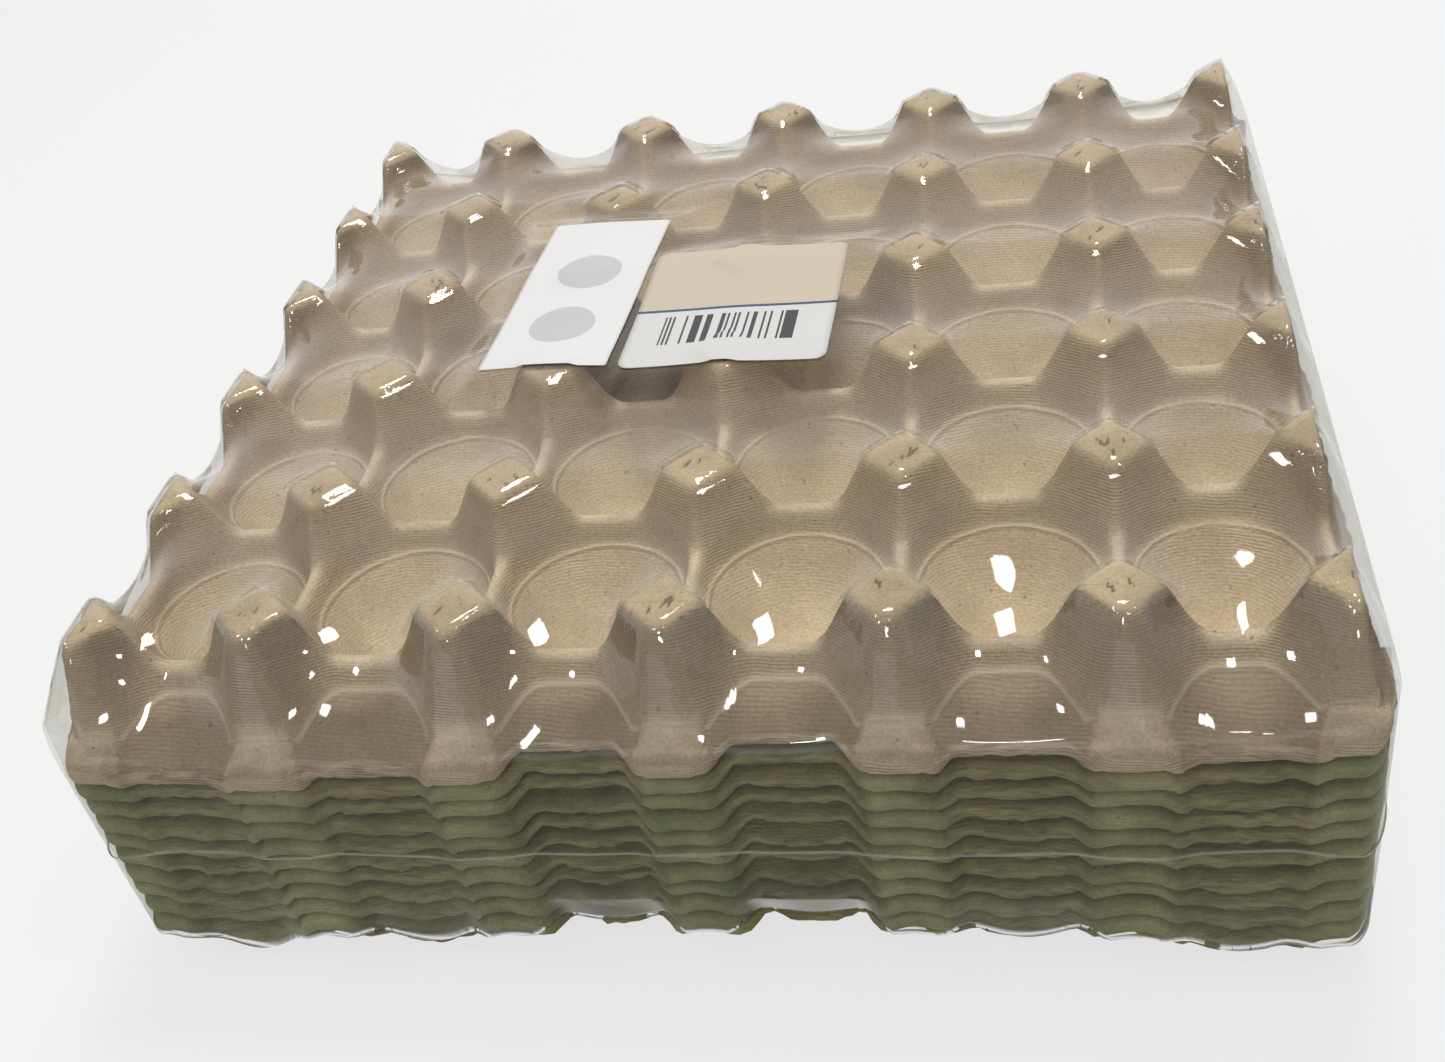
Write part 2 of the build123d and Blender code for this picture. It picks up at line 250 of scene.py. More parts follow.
def moulded(x, y, lifts):
    """Height of the pulp, and its marks: slots, and how far the mould's creases are."""
    i, j = nearest(x, column_x), nearest(y, row_y)
    dx = x - column_x[i] - post_off_place[0, i, j]
    dy = y - row_y[j] - post_off_place[1, i, j]
    ahead = np.abs(y) - row_y[-1]
    aside = np.abs(x) - column_x[-1]
    framed = framework(x, y)

    cell = nearest(x, cup_x)
    off_x, off_y = x - cup_x[cell], y - cup_y[nearest(y, cup_y)]
    out = np.maximum(np.hypot(off_x, off_y), 0.1)
    share = out / cup_radius[cell]
    bowl = cup_floor + (ring_z - cup_floor) * share ** cup_curve
    beyond = np.clip((out - cup_radius[cell]) / ring_wide, 0, 1)
    cup = np.where(share < 1, bowl, ring_z + (framed - ring_z) * beyond)

    arch = arch_z - arch_fall * (ahead - arch_reach)
    tab = ledge_z - tab_flank * np.clip(np.abs(x - column_x[i]) - tab_half, 0, None)
    tab = tab - tab_droop * np.clip((ahead - tab_bend) / tab_bend_wide, 0, 1) ** 2
    bent = along_rim(x, lifts) * np.clip(ahead / tab_reach, 0, 1) ** 1.5
    ledge = soft_max(arch, tab, fold_round) + bent
    ledge = np.where(ahead > 0, ledge, ledge_z - side_fall * np.clip(aside, 0, None))

    outer = (ahead > 0) | (aside > 0)
    height = np.where(outer, soft_max(ledge, framed, ledge_round), cup)

    # Where the paint changes: at a crease, on the arches, tabs, bowls and crests, and on the
    # arrises of a post, whose beads show only between its flat top and the saddle walls. Bowls,
    # tabs and crests get painted light, arches painted shade, and beads a painted highlight
    crease_slope, crest_half, crest_edge = 2.2, 2.1, 0.7
    crease = np.where(outer, (framed - ledge) / crease_slope, out - cup_radius[cell])
    under_crease = np.clip(0.5 - crease, 0, 1)
    arch_share = np.where(ahead > 0, under_crease * np.clip(arch - tab + 0.5, 0, 1), 0)
    tab_share = np.where(ahead > 0, under_crease * np.clip(tab - arch + 0.5, 0, 1), 0)
    bowl_share = np.where(outer, 0, under_crease)
    below_flat = np.clip((tray_height - 1.5 - height) / 2, 0, 1)
    below_flat = below_flat * np.clip(height - saddle_z - 1, 0, 1)
    off_wall = np.minimum(np.abs(x - column_x[i]), np.abs(y - row_y[j]))
    crest = np.clip((crest_half - off_wall) / crest_edge, 0, 1)
    crest = crest * np.clip(saddle_z + 1.6 - framed, 0, 1)
    crest = np.where(np.maximum(ahead, aside) > 1.8, 0, crest)
    # The smooth mark is painted light: bowls, crests and tabs are made paler and less saturated, as
    # if lit brighter
    marks = {"crease": crease, "ridge": dy * (11 - 10 * below_flat), "arch": arch_share,
             "smooth": np.maximum(np.maximum(0.9 * bowl_share, crest), tab_share)}

    pit = 0 * x
    for n in range(slot_count):
        at_x, at_y, turn = slots[n][:, i, j]
        angle = math.pi / 2 + slot_turn * turn
        u, v = dx - slot_spread * at_x, dy - slot_spread * at_y
        along = u * np.cos(angle) + v * np.sin(angle)
        over = -u * np.sin(angle) + v * np.cos(angle)
        size = 0.55 + 0.5 * np.abs(turn)
        hole = ease(1.7 - np.hypot(along / slot_long, over / slot_wide) / size)
        shown = np.abs(at_x) + np.abs(at_y) < 1.1
        pit = np.maximum(pit, np.where(shown, hole, 0))
    pit = pit * (height > tray_height - slot_band)
    return height - slot_depth * pit, {**marks, "pit": pit}


def lines(stations, near, fine, coarse, edge_steps):
    """Grid lines across a tray: place, and share of the way over the ledge."""
    inside = [stations[0]]
    for a, b in zip(stations, stations[1:]):
        close = int(round(near / fine))
        wide = int(round((b - a - 2 * near) / coarse))
        inside += list(a + near * np.arange(1, close + 1) / close)
        inside += list(a + near + (b - a - 2 * near) * np.arange(1, wide + 1) / wide)
        inside += list(b - near + near * np.arange(1, close + 1) / close)
    steps = np.arange(1, edge_steps + 1) / edge_steps
    place = [stations[0]] * edge_steps + inside + [stations[-1]] * edge_steps
    beyond = [*-steps[::-1], *np.zeros(len(inside)), *steps]
    return np.array(place), np.array(beyond)


def outlined(x_lines, y_lines, reach_x, reach_y):
    """Places of all grid points, with the ledge's corners rounded off."""
    x, s = [np.repeat(v[:, None], len(y_lines[0]), 1) for v in x_lines]
    y, t = [np.repeat(v[None, :], len(x_lines[0]), 0) for v in y_lines]
    out_x = reach_x(y) * s * np.sqrt(1 - t * t / 2)
    out_y = reach_y(x) * t * np.sqrt(1 - s * s / 2)
    return x + out_x, y + out_y


def rim_reach(x):
    """How far the rim reaches beyond the front or back row: furthest at a tab."""
    return tab_reach + (arch_edge[nearest(x, cup_x)] - tab_reach) * rim_share(x)


def side_rim_reach(y):
    """How far the rim reaches beyond the left or right column: less between two posts."""
    straight, blend = 6, 8
    aside = np.abs(y - row_y[nearest(y, row_y)])
    return side_reach - side_pull * ease((aside - straight) / blend)


def border(count_x, count_y):
    """Grid indices round the border, anticlockwise."""
    front = [(i, 0) for i in range(count_x - 1)]
    right = [(count_x - 1, j) for j in range(count_y - 1)]
    back = [(i, count_y - 1) for i in range(count_x - 1, 0, -1)]
    left = [(0, j) for j in range(count_y - 1, 0, -1)]
    return np.array(front + right + back + left)


def outward(edge, step):
    """Direction away from the pack at each point of a closed outline."""
    along = np.roll(edge, -step, 0) - np.roll(edge, step, 0)
    away = np.stack([along[:, 1], -along[:, 0]], -1)
    return away / np.linalg.norm(away, axis=1, keepdims=True)


def patches(keep_x, keep_y, index, fine_x=(), fine_y=()):
    """Faces between kept lines, which take in every point along the given seam lines."""
    faces = []
    for a, b in zip(keep_x, keep_x[1:]):
        for c, d in zip(keep_y, keep_y[1:]):
            low = range(a, b) if c in fine_y else (a,)
            right = range(c, d) if b in fine_x else (c,)
            high = range(b, a, -1) if d in fine_y else (b,)
            left = range(d, c, -1) if a in fine_x else (d,)
            loop = [index[i, c] for i in low] + [index[b, j] for j in right]
            loop += [index[i, d] for i in high] + [index[a, j] for j in left]
            faces.append([int(v) for v in loop])
    return faces


def sheet_object(name, points, faces, marks=()):
    """Object of a mesh given in millimetres, with its values stored on the points."""
    mesh = bpy.data.meshes.new(name)
    mesh.from_pydata((np.asarray(points) * mm).tolist(), [], faces)
    for mark, values in dict(marks).items():
        stored = mesh.attributes.new(mark, "FLOAT", "POINT")
        stored.data.foreach_set("value", np.asarray(values, float))
    mesh.polygons.foreach_set("use_smooth", np.ones(len(mesh.polygons), bool))
    made = bpy.data.objects.new(name, mesh)
    bpy.context.scene.collection.objects.link(made)
    return made


# Rim, as steps outward and upward from the moulded face: a smooth roll at each tab, and a torn lip
# along each arch, of a thickness of its own in each column of cells
tab_lip = np.array([(0.3, -0.7), (0.5, -1.7), (0.4, -2.9), (0.0, -3.9), (-0.9, -4.3), (-3.0, -3.6)])
arch_lip = np.array([(0.25, -0.25), (0.45, -1.2), (0.45, -2.5), (0.2, -3.4), (-0.6, -3.9),
                     (-2.8, -3.3)])
arch_lip_share = np.array([1.0, 1.0, 0.72, 0.68, 0.95, 1.0])
shell_drop = 3.0


def tray_object(name, floor_z, x_lines, y_lines, keep, lifts, thickness):
    """One tray as a closed shell: moulded face, lip and plain underside."""
    x, y = outlined(x_lines, y_lines, side_rim_reach, rim_reach)
    height, marks = moulded(x, y, lifts)
    count_x, count_y = x.shape
    points = [np.stack([x, y, height + floor_z], -1).reshape(-1, 3)]
    top = np.arange(count_x * count_y).reshape(count_x, count_y)
    total = top.size

    ring = border(count_x, count_y)
    edge = points[0].reshape(count_x, count_y, 3)[ring[:, 0], ring[:, 1]]
    away = outward(edge, 1)
    torn = np.where(np.abs(edge[:, 1]) > row_y[-1] + front_foot, rim_share(edge[:, 0]), 1.0)
    thin = thickness * (1 + (arch_lip_share[nearest(edge[:, 0], cup_x)] - 1) * torn)
    faces = []
    above = top[ring[:, 0], ring[:, 1]]
    for tab_step, arch_step in zip(tab_lip, arch_lip):
        out, down = (tab_step[:, None] + (arch_step - tab_step)[:, None] * torn)
        row = edge.copy()
        row[:, :2] += away * out[:, None]
        row[:, 2] += down * thin
        points.append(row)
        below = total + np.arange(len(ring))
        total += len(ring)
        faces += np.stack([above, below, np.roll(below, -1), np.roll(above, -1)], -1).tolist()
        above = below

    under = np.full((count_x, count_y), -1)
    under[ring[:, 0], ring[:, 1]] = above
    keep_x, keep_y = keep["under"]
    inner = np.array([(i, j) for i in keep_x[1:-1] for j in keep_y[1:-1]])
    low = points[0].reshape(count_x, count_y, 3)[inner[:, 0], inner[:, 1]].copy()
    low[:, 2] -= shell_drop
    points.append(low)
    under[inner[:, 0], inner[:, 1]] = total + np.arange(len(inner))

    keep_x, keep_y = keep["top"]
    first_x, last_x = keep_x[0], keep_x[-1]
    first_y, last_y = keep_y[0], keep_y[-1]
    faces += patches(keep_x, keep_y, top, (first_x, last_x), (first_y, last_y))
    all_x = range(count_x)
    for band_x, band_y in ((all_x, range(first_y + 1)), (all_x, range(last_y, count_y)),
                           (range(first_x + 1), range(first_y, last_y + 1)),
                           (range(last_x, count_x), range(first_y, last_y + 1))):
        faces += patches(band_x, band_y, top)
    bottom = patches(*keep["under"], under, (0, count_x - 1), (0, count_y - 1))
    faces += [face[::-1] for face in bottom]

    marks["rim"] = np.zeros(x.shape)
    marks["rim"][ring[:, 0], ring[:, 1]] = 0.25 + 0.75 * torn
    stored = {}
    for mark, values in marks.items():
        lips = np.tile(values[ring[:, 0], ring[:, 1]], len(tab_lip))
        stored[mark] = np.concatenate([values.reshape(-1), lips, values[inner[:, 0], inner[:, 1]]])
    return sheet_object(name, np.concatenate(points), faces, stored)


def kept(first, last, step):
    """Indices of the lines to keep: each so many, and always the first and last."""
    return sorted({first, last, *range(first, last, step)})


def kept_lines(x_lines, y_lines, edge_steps, face_step, under_step):
    """Lines to keep on a tray's moulded face, inside its ledge, and on its underside."""
    counts = len(x_lines[0]), len(y_lines[0])
    return {"top": [kept(edge_steps, count - 1 - edge_steps, face_step) for count in counts],
            "under": [kept(0, count - 1, under_step) for count in counts]}


# Moulded pulp: grey-brown paper fibre with dark specks, with painted shade in its pits. The steep
# faces are printed with the fine lines of the wire mesh, beads run along its joints with a painted
# highlight on them, and the rim is rough and torn. Its arches get painted shade, and its bowls,
# tabs and crests painted light.
def noise(tree, place, size, detail):
    """Noise from 0 to 1, with blobs of about a given size."""
    return add(tree, "ShaderNodeTexNoise",
               {"Vector": place, "Scale": 1 / size, "Detail": detail}).outputs["Fac"]


def ramp(tree, share, stops):
    """Colour ramp through stops of place and colour."""
    made = add(tree, "ShaderNodeValToRGB", {"Fac": share})
    bands = made.color_ramp.elements
    while len(bands) < len(stops):
        bands.new(0.5)
    for band, (place, color) in zip(bands, stops):
        band.position = place
        band.color = (*color, 1)
    return made.outputs[0]


def blended(tree, share, first, second, mode="MIX"):
    """Colour between two colours."""
    made = add(tree, "ShaderNodeMix", data_type="RGBA", blend_type=mode)
    for key, value in ((0, share), (6, first), (7, second)):
        if isinstance(value, bpy.types.NodeSocket):
            tree.links.new(value, made.inputs[key])
        else:
            made.inputs[key].default_value = value if key == 0 else (*value, 1)
    return made.outputs[2]


def sums(tree, kind, first, second=0.0, third=0.0, clamp=False):
    """Result of one sum on up to three values."""
    return add(tree, "ShaderNodeMath", {0: first, 1: second, 2: third}, operation=kind,
               use_clamp=clamp).outputs[0]


def point_value(tree, name):
    """Value stored on the points under a name."""
    return add(tree, "ShaderNodeAttribute", attribute_name=name).outputs["Fac"]


def normal_up(tree):
    """Upward part of the surface's direction: one where it is level."""
    way = add(tree, "ShaderNodeNewGeometry").outputs["Normal"]
    return add(tree, "ShaderNodeSeparateXYZ", {0: way}).outputs[2]


def stretched(tree, place, scale, turn=(0.0, 0.0, 0.0)):
    """Place turned and scaled, for blobs that are longer one way."""
    return add(tree, "ShaderNodeMapping",
               {"Vector": place, "Rotation": turn, "Scale": scale}).outputs[0]


def bumped(tree, relief, strength, depth):
    """Surface direction as a relief of a given depth tilts it."""
    return add(tree, "ShaderNodeBump",
               {"Height": relief, "Strength": strength, "Distance": depth}).outputs[0]


def bead(tree, name, width):
    """One on a crease, falling to zero at a given width beside it."""
    off = point_value(tree, name)
    return sums(tree, "MULTIPLY_ADD", sums(tree, "ABSOLUTE", off), -1 / width, 1.0, clamp=True)


def pulp(name, pale, dark, rim_and_highlight_color, line_share):
    """Paint of one kind of moulded pulp."""
    material = bpy.data.materials.new(name)
    tree, out = new_tree(material)
    place = add(tree, "ShaderNodeTexCoord").outputs["Object"]
    blotch = noise(tree, place, 14 * mm, 3)
    fibre = noise(tree, place, 0.8 * mm, 5)
    speck = noise(tree, place, 1.6 * mm, 1)
    rim, arch = point_value(tree, "rim"), point_value(tree, "arch")
    pit = sums(tree, "ADD", point_value(tree, "pit"), fibre)
    pit = sums(tree, "MULTIPLY_ADD", pit, 4.0, -4.1, clamp=True)

    tone = ramp(tree, blotch, [(0.3, dark), (0.68, pale)])
    grain = ramp(tree, fibre, [(0.3, (0.80, 0.79, 0.78)), (0.7, (1.12, 1.12, 1.12))])
    tone = blended(tree, 0.85, tone, grain, "MULTIPLY")
    spots = ramp(tree, speck, [(0.2, (0.5, 0.42, 0.36)), (0.27, (1, 1, 1))])
    tone = blended(tree, 0.7, tone, spots, "MULTIPLY")
    # Painted light: the bowls, crests and tabs are made paler and less saturated, as if lit
    # brighter
    tone = blended(tree, point_value(tree, "smooth"), tone, (1.32, 1.37, 1.47), "MULTIPLY")
    # Painted shade: the arches are made darker
    tone = blended(tree, arch, tone, (0.82, 0.79, 0.78), "MULTIPLY")
    tone = blended(tree, sums(tree, "MULTIPLY", rim, 0.6), tone, rim_and_highlight_color)
    ragged = noise(tree, stretched(tree, place, (0.22, 0.22, 1.0)), 1.1 * mm, 4)
    streaks = ramp(tree, ragged, [(0.36, (0.42, 0.40, 0.37)), (0.6, (1.12, 1.12, 1.12))])
    tone = blended(tree, sums(tree, "MULTIPLY", rim, 0.55), tone, streaks, "MULTIPLY")
    # Painted highlight: the beads along the arrises and the mould's creases are made pale in the
    # rim colour, as if lit on top
    beads = sums(tree, "MULTIPLY", bead(tree, "ridge", 0.55), 0.7)
    beads = sums(tree, "MAXIMUM", beads, bead(tree, "crease", 0.6))
    tone = blended(tree, sums(tree, "MULTIPLY", beads, 0.7), tone, rim_and_highlight_color)
    # Painted shade: the slots in the post tops are made near black
    tone = blended(tree, sums(tree, "MULTIPLY", pit, 0.85), tone, (0.13, 0.07, 0.04))

    wire_pitch, wire_way = 0.78 * mm, (0.06, 0.3, 1.0)
    level = normal_up(tree)
    steepness = sums(tree, "SUBTRACT", 1.0, sums(tree, "MULTIPLY", level, level))
    warp = noise(tree, place, 9 * mm, 2)
    run = add(tree, "ShaderNodeVectorMath", {0: place, 1: wire_way},
              operation="DOT_PRODUCT").outputs["Value"]
    turns = sums(tree, "MULTIPLY_ADD", run, 2 * math.pi / wire_pitch,
                 sums(tree, "MULTIPLY", warp, 14.0))
    wires = sums(tree, "MULTIPLY_ADD", sums(tree, "SINE", turns), 0.5, 0.5)
    worn = sums(tree, "MULTIPLY_ADD", blotch, 1.6, -0.25, clamp=True)
    meshed = sums(tree, "MAXIMUM", sums(tree, "POWER", steepness, 2.0),
                  sums(tree, "MULTIPLY", arch, 0.5))
    wires = sums(tree, "MULTIPLY", wires, sums(tree, "MULTIPLY", meshed, worn))
    tone = blended(tree, sums(tree, "MULTIPLY", wires, line_share), tone, (0.09, 0.065, 0.045))
    relief = sums(tree, "MULTIPLY_ADD", fibre, 1.3, sums(tree, "MULTIPLY", wires, -0.7))
    relief = sums(tree, "MULTIPLY_ADD", beads, 2.0, relief)
    relief = sums(tree, "MULTIPLY_ADD", sums(tree, "MULTIPLY", ragged, rim), 5.0, relief)
    paint = add(tree, "ShaderNodeBsdfPrincipled",
                {"Base Color": tone, "Roughness": 0.93, "Specular IOR Level": 0.18,
                 "Normal": bumped(tree, relief, 0.8, 0.28 * mm)})
    tree.links.new(paint.outputs[0], out.inputs["Surface"])
    return material


top_pulp = pulp("top_pulp", (0.61, 0.485, 0.32), (0.46, 0.36, 0.235), (0.76, 0.63, 0.46), 0.75)
# The nested trays are the same pulp as the top tray, painted darker and greener as painted shade
# and painted green bounce light
shaded_side_pulp = pulp("shaded_side_pulp", (0.36, 0.34, 0.165), (0.16, 0.165, 0.075), (0.44, 0.395, 0.21), 0.35)

# Pulp skin: the moulded face is never true, so every tray gets its own fine lumps, slow waves and
# torn rim. One tree of nodes does all ten trays, with a seed of its own for each.
lump_size, wave_size, torn_size = 2.6 * mm, 45 * mm, 3.6 * mm
pulp_skin = bpy.data.node_groups.new("pulp_skin", "GeometryNodeTree")
skin_inputs = {}
for title, kind in (("Geometry", "NodeSocketGeometry"), ("Seed", "NodeSocketFloat"),
                    ("Lump height", "NodeSocketFloat"), ("Wave height", "NodeSocketFloat"),
                    ("Torn height", "NodeSocketFloat"), ("Pulp", "NodeSocketMaterial")):
    socket = pulp_skin.interface.new_socket(title, in_out="INPUT", socket_type=kind)
    skin_inputs[title] = socket.identifier
pulp_skin.interface.new_socket("Geometry", in_out="OUTPUT", socket_type="NodeSocketGeometry")
given = pulp_skin.nodes.new("NodeGroupInput").outputs
place = add(pulp_skin, "GeometryNodeInputPosition").outputs[0]


def shove(size, height, detail):
    """Push in a random direction, alike over about a given size."""
    cloud = add(pulp_skin, "ShaderNodeTexNoise",
                {"Vector": place, "W": given["Seed"], "Scale": 1 / size, "Detail": detail},
                noise_dimensions="4D").outputs["Color"]
    centred = add(pulp_skin, "ShaderNodeVectorMath", {0: cloud, 1: (0.5, 0.5, 0.5)},
                  operation="SUBTRACT")
    pushed = add(pulp_skin, "ShaderNodeVectorMath", {0: centred.outputs[0]}, operation="SCALE")
    pulp_skin.links.new(height, pushed.inputs["Scale"])
    return pushed.outputs[0]


on_rim = add(pulp_skin, "GeometryNodeInputNamedAttribute", {"Name": "rim"}, data_type="FLOAT")
torn = sums(pulp_skin, "MULTIPLY", on_rim.outputs["Attribute"], given["Torn height"])
push = shove(lump_size, given["Lump height"], 2.0)
for other in (shove(wave_size, given["Wave height"], 0.0), shove(torn_size, torn, 3.0)):
    push = add(pulp_skin, "ShaderNodeVectorMath", {0: push, 1: other}, operation="ADD").outputs[0]
pushed = add(pulp_skin, "GeometryNodeSetPosition", {"Geometry": given["Geometry"], "Offset": push})
whole = add(pulp_skin, "GeometryNodeRealizeInstances", {"Geometry": pushed.outputs[0]})
painted = add(pulp_skin, "GeometryNodeSetMaterial",
              {"Geometry": whole.outputs[0], "Material": given["Pulp"]})
pulp_skin.links.new(painted.outputs[0], pulp_skin.nodes.new("NodeGroupOutput").inputs[0])


def grown(piece, nodes, inputs, identifiers):
    """Run a tree of nodes on a piece, and keep what comes out as plain mesh."""
    step = piece.modifiers.new("grow", "NODES")
    step.node_group = nodes
    for title, value in inputs.items():
        step[identifiers[title]] = value
    finished = piece.evaluated_get(bpy.context.evaluated_depsgraph_get())
    made = bpy.data.meshes.new_from_object(finished)
    made.name = piece.name
    piece.modifiers.remove(step)
    plain = piece.data
    piece.data = made
    bpy.data.meshes.remove(plain)
    made.polygons.foreach_set("use_smooth", np.ones(len(made.polygons), bool))


# Top tray: the one tray that shows in full through the film, in warm pulp with slots in its post
# tops, painted dark as shade. Its rim lies low at the left and bends up at the right-hand corner.
post_near = 10.2
edge_steps, top_fine, top_coarse = 16, 0.85, 1.35
top_x = lines(column_x, post_near, top_fine, top_coarse, edge_steps)
top_y = lines(row_y, post_near, top_fine, top_coarse, edge_steps)
tray_count, nest_step, stack_base = 10, 5.8, 0.6
top_lifts = np.array([0.2, -1.5, -3.1, -2.4, -1.9, -1.0, -0.2, 0.0, 0.2, 0.0, -0.5, 1.3, 3.4])
keep = kept_lines(top_x, top_y, edge_steps, 1, 3)
top_floor = stack_base + (tray_count - 1) * nest_step
top_thickness = 0.95
top_tray = tray_object("top_tray", top_floor, top_x, top_y, keep, top_lifts, top_thickness)
skin = {"Seed": 0.0, "Lump height": 0.3 * mm, "Wave height": 1.2 * mm, "Torn height": 2.4 * mm}
grown(top_tray, pulp_skin, {**skin, "Pulp": top_pulp}, skin_inputs)
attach(top_tray, "root")
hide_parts("tray_10")

# Nested trays: nine more of the same moulding under it. Only their rims show, as a pile of thick
# torn lips, close together at the tabs and gaping between them, and they sag towards the bottom.
low_lifts = np.array([0.0, -8.5, 0.0, -9.0, 1.0, -13.5, 2.0, -13.0, 2.5, -9.5, 2.0, -7.0, 0.0])
rim_steps, rim_fine, rim_coarse = 9, 1.7, 1.8
rim_x = lines(column_x, post_near, rim_fine, rim_coarse, rim_steps)
rim_y = lines(row_y, post_near, rim_fine, rim_coarse, rim_steps)
keep = kept_lines(rim_x, rim_y, rim_steps, 3, 3)
slack = np.array([0.6, 1.9] * len(cup_x) + [0.6])
rim_thickness, thickness_spread, lowest_extra = 0.76, 0.14, 0.35
skin["Torn height"] = 3.2 * mm
seed_step = 3.7
gaps = np.random.default_rng(11)
for n in range(1, tray_count):
    depth = (tray_count - n) / (tray_count - 1)
    lifts = top_lifts + (low_lifts - top_lifts) * depth
    lifts = lifts + slack * gaps.uniform(-1, 1, len(top_lifts))
    thickness = rim_thickness + gaps.uniform(-thickness_spread, thickness_spread)
    tray = tray_object(f"nested_tray_{n:02d}", stack_base + (n - 1) * nest_step, rim_x, rim_y, keep,
                       lifts, thickness + lowest_extra * (n == 1))
    skin["Seed"] = seed_step * n
    grown(tray, pulp_skin, {**skin, "Pulp": shaded_side_pulp}, skin_inputs)
    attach(tray, "root")
    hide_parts(f"tray_{n:02d}")

# Shrink film: one thin clear bag shrunk tight round the pack. It is pulled from post to post, dips
# into each cell, drops to the rim and closes under the pack, with a weld seam half way down its
# sides.
film_reach, film_arch_pull = tab_reach + 1.5, 1.2
film_side_reach = side_reach + 1.2
film_lift, slope_lift, rim_lift = 0.7, 1.6, 1.9
sag_between, sag_cell, sag_edge = 3.2, 4.4, 8.8
edge_start, edge_wide, side_wide = 21, 18, 24
held_half, sticker_hold = 3.0, 0.75
# Stickers that it carries: size, middle, turn in degrees and radius of the corners
plain_size, plain_middle, plain_turn, plain_corner = (36.0, 80.0), (-47.0, 14.0), -3.0, 0.6
label_size, label_middle, label_turn, label_corner = (55.0, 60.0), (0.3, 0.5), -1.5, 3.0


def between(value, stations, flat):
    """Zero on the flats at the stations, and one half way between them, as a slack line hangs."""
    aside = np.abs(value - stations[nearest(value, stations)])
    half = (stations[2] - stations[1]) / 2
    return 1 - (1 - np.clip((aside - flat) / (half - flat), 0, 1)) ** 2


def stuck(x, y):
    """One where a sticker holds the film flat, falling to zero round it."""
    blend = 12
    share = 0 * x
    for size, middle in ((plain_size, plain_middle), (label_size, label_middle)):
        past = np.maximum(np.abs(x - middle[0]) - size[0] / 2, np.abs(y - middle[1]) - size[1] / 2)
        share = np.maximum(share, ease(1 - past / blend))
    return share


def draped(x, y):
    """Height of the film over the top tray: hung between the posts, and lying on their faces."""
    part_x, part_y = between(x, column_x, held_half), between(y, row_y, held_half)
    ahead = np.abs(y) - row_y[-1]
    aside = np.abs(x) - column_x[-1]
    inner_x = np.where(aside > 0, 0, part_x)
    inner_y = np.where(ahead > 0, 0, part_y)
    near_front, near_side = (ahead + edge_start) / edge_wide, 1 + aside / side_wide
    near_front = soft_max(soft_min(near_front, 1, 0.3), 0, 0.3)
    sag_x = sag_between + (sag_edge - sag_between) * near_front
    sag_y = sag_between + (sag_edge - sag_between) * ease(near_side)
    sag = sag_x * inner_x + sag_y * inner_y * (1 - inner_x)
    sag += (sag_cell - sag_between) * inner_x * inner_y
    over = tray_height + film_lift - sag * (1 - sticker_hold * stuck(x, y))
    rim = ledge_z + rim_lift + along_rim(x, top_lifts)
    start = post_flat - (post_flat - 1) * inner_x
    front = over - (ahead - start) * (over - rim) / (film_reach - start)
    side = over - aside * (over - rim) / film_side_reach
    hung = soft_min(soft_min(over, front, 6.0), soft_min(side, over, 1.5), 2.0)
    cover = soft_min(framework(x, y) + slope_lift, tray_height + film_lift, 1.0)
    return soft_max(hung, cover, 0.8)


film_steps, film_fine, film_coarse = 14, 1.7, 1.9
film_x = lines(column_x, post_near, film_fine, film_coarse, film_steps)
film_y = lines(row_y, post_near, film_fine, film_coarse, film_steps)
x, y = outlined(film_x, film_y,
                lambda y: film_side_reach,
                lambda x: film_reach - film_arch_pull * rim_share(x))
height = draped(x, y) + top_floor
points = [np.stack([x, y, height], -1).reshape(-1, 3)]
top = np.arange(x.size).reshape(x.shape)
faces = patches(range(x.shape[0]), range(x.shape[1]), top)
ring = border(*x.shape)
edge = points[0].reshape(*x.shape, 3)[ring[:, 0], ring[:, 1]]
away = outward(edge, 2)

# Sides: how far out and how high each ring lies. Low down the film draws in under the arches, from
# pull_z to turn_z, and then it closes under the pack
seam_z, seam_out, pull_z, side_turn_z, under_draw = 47.0, 0.45, 32, 18.0, 0.17
round_share = np.arange(len(ring)) / len(ring) * 2 * math.pi
seam_wave = 0.6 * np.sin(round_share * 9) + 0.35 * np.sin(round_share * 31 + 1)
turn_z = along_rim(edge[:, 0], [18, 8, 18, 10, 19, 14, 21, 16, 21, 12, 20, 11, 18])
pull = film_reach - film_arch_pull - arch_edge[nearest(edge[:, 0], cup_x)] - 0.8
along_side = np.abs(edge[:, 1]) < row_y[-1] + front_foot
turn_z = np.where(along_side, side_turn_z, turn_z)
pull = np.where(along_side, 0.0, pull * rim_share(edge[:, 0]))
sides = [(0.05, 72), (0.1, 66), (0.05, 60), (0.1, 54), (0.05, 49.5), (0.05, 47.8), (0.05, 47.25),
         (seam_out, 47.12), (seam_out, 46.88), (0.05, 46.75), (0.05, 46.2), (0.05, 44.5), (0.1, 39),
         (0.05, pull_z)]
pull_shares, under_shares = (0.2, 0.5, 0.8, 1.0), (0.05, 0.2, 0.45, 0.75, 1.0)
sides += [(-pull * share, pull_z + (turn_z - pull_z) * share) for share in pull_shares]
sides = [(out, z, 1.0) for out, z in sides]
sides += [(-pull, turn_z * (1 - share ** 3), 1 - under_draw * share) for share in under_shares]
seam_marks = [np.zeros(top.size)]
above = top[ring[:, 0], ring[:, 1]]
total = top.size
